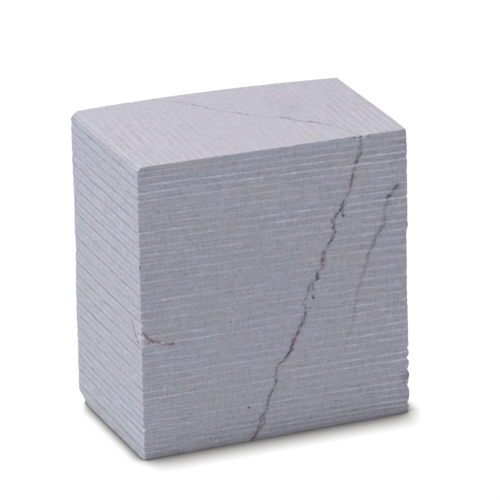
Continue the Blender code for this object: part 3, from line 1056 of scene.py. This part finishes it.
def makeVeinGroup():
    # The mark of a vein: a core, exp(-distance^2), that breaks up along its length, crumbs that
    # have come loose beside it, and a wide faint stain. Distances are in core widths.
    group = bpy.data.node_groups.new("veinMark", "ShaderNodeTree")
    for name in ("Across", "Strength", "Width", "Ragged", "Gaps"):
        group.interface.new_socket(name, in_out="INPUT", socket_type="NodeSocketFloat")
    group.interface.new_socket("Place", in_out="INPUT", socket_type="NodeSocketVector")
    for name in ("Core", "Stain"):
        group.interface.new_socket(name, in_out="OUTPUT", socket_type="NodeSocketFloat")
    given = group.nodes.new("NodeGroupInput").outputs
    strength = given["Strength"]
    made = {name: noise(group, given["Place"], *rule) for name, rule in veinNoises.items()}
    jitter = calc(group, "SUBTRACT", made["jitter"], 0.5)
    moved = calc(group, "MULTIPLY_ADD", jitter, given["Ragged"], given["Across"])
    wide = product(group, given["Width"], remap(group, strength, *veinEffects["widens"]))
    distance = calc(group, "DIVIDE", calc(group, "ABSOLUTE", moved), wide)
    core = calc(group, "POWER", math.e, product(group, distance, distance, -1.0))
    broken = remap(group, made["gaps"], *veinEffects["breaks"], given["Gaps"], 1.0)
    core = product(group, product(group, core, broken), strength, clamp=True)
    crumbs = remap(group, made["crumbs"], *veinEffects["crumbs"])
    crumbs = product(group, crumbs, remap(group, distance, *veinEffects["crumbsEnd"]))
    core = calc(group, "MAXIMUM", core, product(group, crumbs, strength, clamp=True))
    stain = remap(group, distance, *veinEffects["stainEnds"])
    stain = product(group, stain, remap(group, made["cloudy"], *veinEffects["stainClouds"]))
    stain = product(group, stain, strength, clamp=True)
    out = group.nodes.new("NodeGroupOutput").inputs
    group.links.new(core, out["Core"])
    group.links.new(stain, out["Stain"])
    return group


def markVein(tree, group, place, kind):
    inputs = {name: attribute(tree, kind + name) for name in ("Across", "Strength")}
    inputs = {"Place": place, **inputs, **veinMarks[kind]}
    return addNode(tree, "ShaderNodeGroup", {"node_tree": group}, inputs).outputs


def speckMask(tree, sawn):
    # each speck's strength at its heart, fading out over its radius, on the faces' flat map
    mask = 0.0
    for face, along, up, radius, strength in specks:
        middle = {"front": (along + halfWidth, up, 0.0), "top": (up + capMapStart, along, 0.0)}[face]
        heart = speckHeart * radius
        spot = remap(tree, distanceTo(tree, sawn, middle), heart, radius, strength, 0.0)
        mask = calc(tree, "MAXIMUM", spot, mask)
    return mask


def tintStone(tree, made):
    # clouds of pinkish and greenish grey in the blue-grey, and the blushes
    pinker = remap(tree, made["cloud"], *effects["pinker"])
    greener = remap(tree, made["otherCloud"], *effects["greener"])
    blushed = remap(tree, made["cloud"], *effects["blushed"])
    blushed = product(tree, attribute(tree, "blush"), blushed)
    colour = mixColour(tree, pinker, finish["blueGrey"], finish["pinkGrey"])
    colour = mixColour(tree, greener, colour, finish["greenGrey"])
    return mixColour(tree, blushed, colour, finish["blush"])


def scoreTop(tree, shade, over, made):
    # The top's strokes: a wave across them, sin(2 pi (y + bend) / pitch), and scattered thin
    # scores, a dark line with a light one beside it, where a stretched noise passes two heights.
    share = product(
        tree,
        remap(tree, over["X"], *topFrom),
        remap(tree, made["cloud"], *topSaw["inClouds"]),
        remap(tree, calc(tree, "ABSOLUTE", over["Y"]), *topSaw["toSides"]),
        remap(tree, over["X"], *topSaw["toFront"]),
    )
    bent = calc(tree, "MULTIPLY_ADD", made["bend"], topSaw["bend"], over["Y"])
    wave = calc(tree, "SINE", product(tree, bent, math.tau / topSaw["pitch"]))
    shade = calc(tree, "MULTIPLY_ADD", product(tree, wave, share), topSaw["ripple"], shade)
    for height, strength in topSaw["lines"]:
        off = calc(tree, "ABSOLUTE", calc(tree, "SUBTRACT", made["scores"], height))
        line = remap(tree, off, 0.0, topSaw["lineWidth"], 1.0, 0.0)
        shade = calc(tree, "MULTIPLY_ADD", product(tree, line, share), strength, shade)
    return shade


def shadeStone(tree, over, made):
    # 1 + the noises about their middle, the top's scores, the pits, and the tone, which holds the
    # strokes' lines with their painted highlights and painted shade
    shade = 1.0
    for name, shares in shadeShares.items():
        middled = calc(tree, "SUBTRACT", made[name], 0.5)
        shade = calc(tree, "MULTIPLY_ADD", middled, remap(tree, over["X"], *topFrom, *shares), shade)
    shade = scoreTop(tree, shade, over, made)
    pitted = remap(tree, made["pits"], *effects["pitted"])
    shade = calc(tree, "MULTIPLY_ADD", pitted, finish["pitShade"], shade)
    rubbed = remap(tree, made["rubbed"], *effects["rubbed"])
    # the tone attribute, with its painted highlights and painted shade
    shade = calc(tree, "MULTIPLY_ADD", attribute(tree, "tone"), rubbed, shade)
    return calc(tree, "MULTIPLY_ADD", attribute(tree, "wear"), finish["wearShade"], shade)


def drawVeins(tree, colour, place, made):
    # stains first, then the fine veins, then the main one, each crimson or ochre in its patches
    group = makeVeinGroup()
    main, fine = markVein(tree, group, place, "vein"), markVein(tree, group, place, "fine")
    rust = attribute(tree, "rust")
    patchy = remap(tree, made["mottle"], *effects["patchy"])
    crimson = product(tree, rust, patchy, clamp=True)
    ochre = product(tree, product(tree, rust, -1.0), patchy, clamp=True)
    mainColour = mixColour(tree, crimson, finish["veinDark"], finish["crimson"])
    mainColour = mixColour(tree, ochre, mainColour, finish["ochre"])
    fineColour = mixColour(tree, crimson, finish["veinPale"], finish["crimson"])
    stained = product(tree, fine["Stain"], veinShares["fineStain"])
    stained = calc(tree, "MAXIMUM", main["Stain"], stained)
    stain = product(tree, stained, veinShares["stain"])
    colour = mixColour(tree, stain, colour, finish["stain"])
    colour = mixColour(tree, product(tree, stained, crimson), colour, finish["halo"])
    colour = mixColour(tree, product(tree, fine["Core"], veinShares["fine"]), colour, fineColour)
    return mixColour(tree, product(tree, main["Core"], veinShares["main"]), colour, mainColour)


def makeStoneMaterial():
    material = bpy.data.materials.new("sawnSoapstone")
    material.use_nodes = True
    tree = material.node_tree
    shader = tree.nodes["Principled BSDF"].inputs
    shader["Specular IOR Level"].default_value = finish["shine"]
    place = scaled(tree, addNode(tree, "ShaderNodeTexCoord").outputs["Object"], (1 / mm,) * 3)
    sawn = addNode(tree, "ShaderNodeUVMap", {"uv_map": "sawn"}).outputs["UV"]
    sawn = scaled(tree, sawn, (mapUnit,) * 3)
    over = addNode(tree, "ShaderNodeSeparateXYZ", None, {0: sawn}).outputs
    made = {**makeNoises(tree, place, stoneNoises), **makeNoises(tree, sawn, faceNoises)}

    shade = grey(tree, shadeStone(tree, over, made))
    colour = mixColour(tree, 1.0, tintStone(tree, made), shade, "MULTIPLY")
    colour = drawVeins(tree, colour, place, made)
    colour = mixColour(tree, speckMask(tree, sawn), colour, finish["speck"])
    tree.links.new(colour, shader["Base Color"])

    smoothest = finish["roughness"] - finish["roughGrain"] / 2
    rough = calc(tree, "MULTIPLY_ADD", made["grain"], finish["roughGrain"], smoothest)
    tree.links.new(rough, shader["Roughness"])
    height = 0.0
    for name, share in reliefShares.items():
        height = calc(tree, "MULTIPLY_ADD", made[name], share, height)
    inputs = {"Strength": 1.0, "Distance": finish["bumpDepth"], "Height": height}
    bump = addNode(tree, "ShaderNodeBump", None, inputs)
    tree.links.new(bump.outputs["Normal"], shader["Normal"])
    return material


# The studio: a white light table, with a painted contact shadow on it round the stone's foot,
# a dome that is bright overhead, and a soft box on the left.
studio = {
    "floorGlow": 1.02,
    "floorSize": 8.0,
    "shade": (0.13, 0.12, 0.115),  # the painted shadow's colour, on the floor right against the stone
    "frontReach": 0.0139,  # how far the painted shadow spreads before the front face, and to each side
    "leftReach": 0.0047,
    "rightReach": 0.0058,
    "footLine": -0.0298,  # where the foot of the front face stands at x = 0
    "footSlope": 0.0274,  # and how it runs askew from there
    "footBlur": (-0.0004, 0.0006),  # the reach changes over these distances past its lines
    "endBlur": (-0.003, 0.004),
    "middleBlur": (-0.04, 0.04),
    "liftedFoot": (0.002, 0.0155),  # no painted shadow under the knocked foot, and all of it past this
    "darkest": 0.5,  # the open share of the sky at which the painted shadow is darkest
    "paintedShadowSamples": 32,
    "brightFrom": 0.3,  # the dome is dim below this height, and brightest at its zenith
    "zenith": 1.25,
    "horizon": 0.024,
    "domeTint": (1.098, 0.970, 0.933),
    "boxTint": (1.0465, 1.0, 0.9144),
    "boxPower": 49.9,
    "boxSize": 1.2,
    "boxPlace": (-1.35, -0.12, 1.9),
}
# The camera. Angles are in degrees, lengths in metres, the lens and its sensor in millimetres.
view = {
    "azimuth": -21.738,
    "elevation": 20.199,
    "roll": -0.935,
    "distance": 1.7205,
    "right": 0.00302,
    "up": 0.00474,
    "lens": 376.3,
    "sensor": 36.0,
    "clipEnd": 50.0,
    "aimHeight": 0.05,
}


def paintedShadowReach(tree, place):
    # The floor's painted shadow darkens it by what stands within this reach. It is longest before
    # the front face, shorter at the sides, and 0 under the knocked foot, where the light gets in.
    way = addNode(tree, "ShaderNodeSeparateXYZ", None, {0: place}).outputs
    side = remap(tree, way["X"], *studio["middleBlur"], studio["leftReach"], studio["rightReach"])
    ahead = calc(tree, "MULTIPLY_ADD", way["X"], -studio["footSlope"], way["Y"])
    low, high = (studio["footLine"] + blur for blur in studio["footBlur"])
    inFront = remap(tree, ahead, low, high, 1.0, 0.0)
    low, high = (halfWidth * mm + blur for blur in studio["endBlur"])
    sideways = calc(tree, "ABSOLUTE", way["X"])
    inFront = product(tree, inFront, remap(tree, sideways, low, high, 1.0, 0.0))
    more = calc(tree, "SUBTRACT", studio["frontReach"], side)
    reach = calc(tree, "MULTIPLY_ADD", inFront, more, side)
    fromFoot = distanceTo(tree, place, (-halfWidth * mm, halfDepth * mm, 0.0))
    return product(tree, reach, remap(tree, fromFoot, *studio["liftedFoot"]))


def makeFloor():
    # The floor glows evenly, and a painted shadow darkens it only where the stone stands close above
    # it.
    half = studio["floorSize"] / 2
    mesh = bpy.data.meshes.new("floor")
    corners = [(-half, -half, 0), (half, -half, 0), (half, half, 0), (-half, half, 0)]
    mesh.from_pydata(corners, [], [(0, 1, 2, 3)])
    floor = bpy.data.objects.new("floor", mesh)
    bpy.context.scene.collection.objects.link(floor)
    material = bpy.data.materials.new("lightTableWithPaintedShadow")
    material.use_nodes = True
    tree = material.node_tree
    shader = tree.nodes["Principled BSDF"].inputs
    shader["Base Color"].default_value = (0.0, 0.0, 0.0, 1.0)
    shader["Specular IOR Level"].default_value = 0.0
    shader["Emission Strength"].default_value = studio["floorGlow"]
    reach = paintedShadowReach(tree, addNode(tree, "ShaderNodeTexCoord").outputs["Object"])
    # the painted contact shadow: the glow goes over to the shade colour where the stone hides the sky
    # nearby
    settings = {"samples": studio["paintedShadowSamples"]}
    sky = addNode(tree, "ShaderNodeAmbientOcclusion", settings, {"Distance": reach}).outputs["AO"]
    light = remap(tree, sky, studio["darkest"], 1.0, interpolation="LINEAR")
    glowWithPaintedShadow = mixColour(tree, light, studio["shade"], (1.0, 1.0, 1.0))
    tree.links.new(glowWithPaintedShadow, shader["Emission Color"])
    mesh.materials.append(material)


def makeDome():
    world = bpy.data.worlds.new("studioDome")
    bpy.context.scene.world = world
    world.use_nodes = True
    tree = world.node_tree
    direction = addNode(tree, "ShaderNodeTexCoord").outputs["Generated"]
    up = addNode(tree, "ShaderNodeSeparateXYZ", None, {0: direction}).outputs["Z"]
    strength = remap(tree, up, studio["brightFrom"], 1.0, studio["horizon"], studio["zenith"])
    background = tree.nodes["Background"]
    background.inputs["Color"].default_value = (*studio["domeTint"], 1.0)
    tree.links.new(strength, background.inputs["Strength"])


def makeSoftBox():
    light = bpy.data.lights.new("softBox", "AREA")
    light.shape = "SQUARE"
    light.size = studio["boxSize"]
    light.energy = studio["boxPower"]
    light.color = studio["boxTint"]
    box = bpy.data.objects.new("softBox", light)
    box.location = studio["boxPlace"]
    aim = Vector((0, 0, view["aimHeight"])) - box.location
    box.rotation_euler = aim.to_track_quat("-Z", "Y").to_euler()
    bpy.context.scene.collection.objects.link(box)


def makeCamera(shift):
    # the camera stands back from the stone's middle, is rolled, and moves right and up in its view
    azimuth, elevation, roll = (math.radians(view[name]) for name in ("azimuth", "elevation", "roll"))
    out, lift = math.cos(elevation), math.sin(elevation)
    back = Vector((math.sin(azimuth) * out, -math.cos(azimuth) * out, lift))
    right = Vector((math.cos(azimuth), math.sin(azimuth), 0))
    up = back.cross(right)
    rolledRight = right * math.cos(roll) + up * math.sin(roll)
    rolledUp = up * math.cos(roll) - right * math.sin(roll)
    place = Vector((0, 0, view["aimHeight"])) + back * view["distance"]
    place += rolledRight * view["right"] + rolledUp * view["up"] + Vector(shift * mm)
    camera = bpy.data.objects.new("camera", bpy.data.cameras.new("camera"))
    camera.data.lens = view["lens"]
    camera.data.sensor_width = view["sensor"]
    camera.data.clip_end = view["clipEnd"]
    turned = Matrix((rolledRight, rolledUp, back)).transposed().to_4x4()
    camera.matrix_world = Matrix.Translation(place) @ turned
    bpy.context.scene.collection.objects.link(camera)
    bpy.context.scene.camera = camera


stone, shift = buildBlock()
stone.data.materials.append(makeStoneMaterial())
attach(stone, "root")
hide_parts("soapstone_block")
print("material done")

makeFloor()
makeDome()
makeSoftBox()
makeCamera(shift)
bpy.context.scene.view_settings.view_transform = "Standard"
print("studio done")
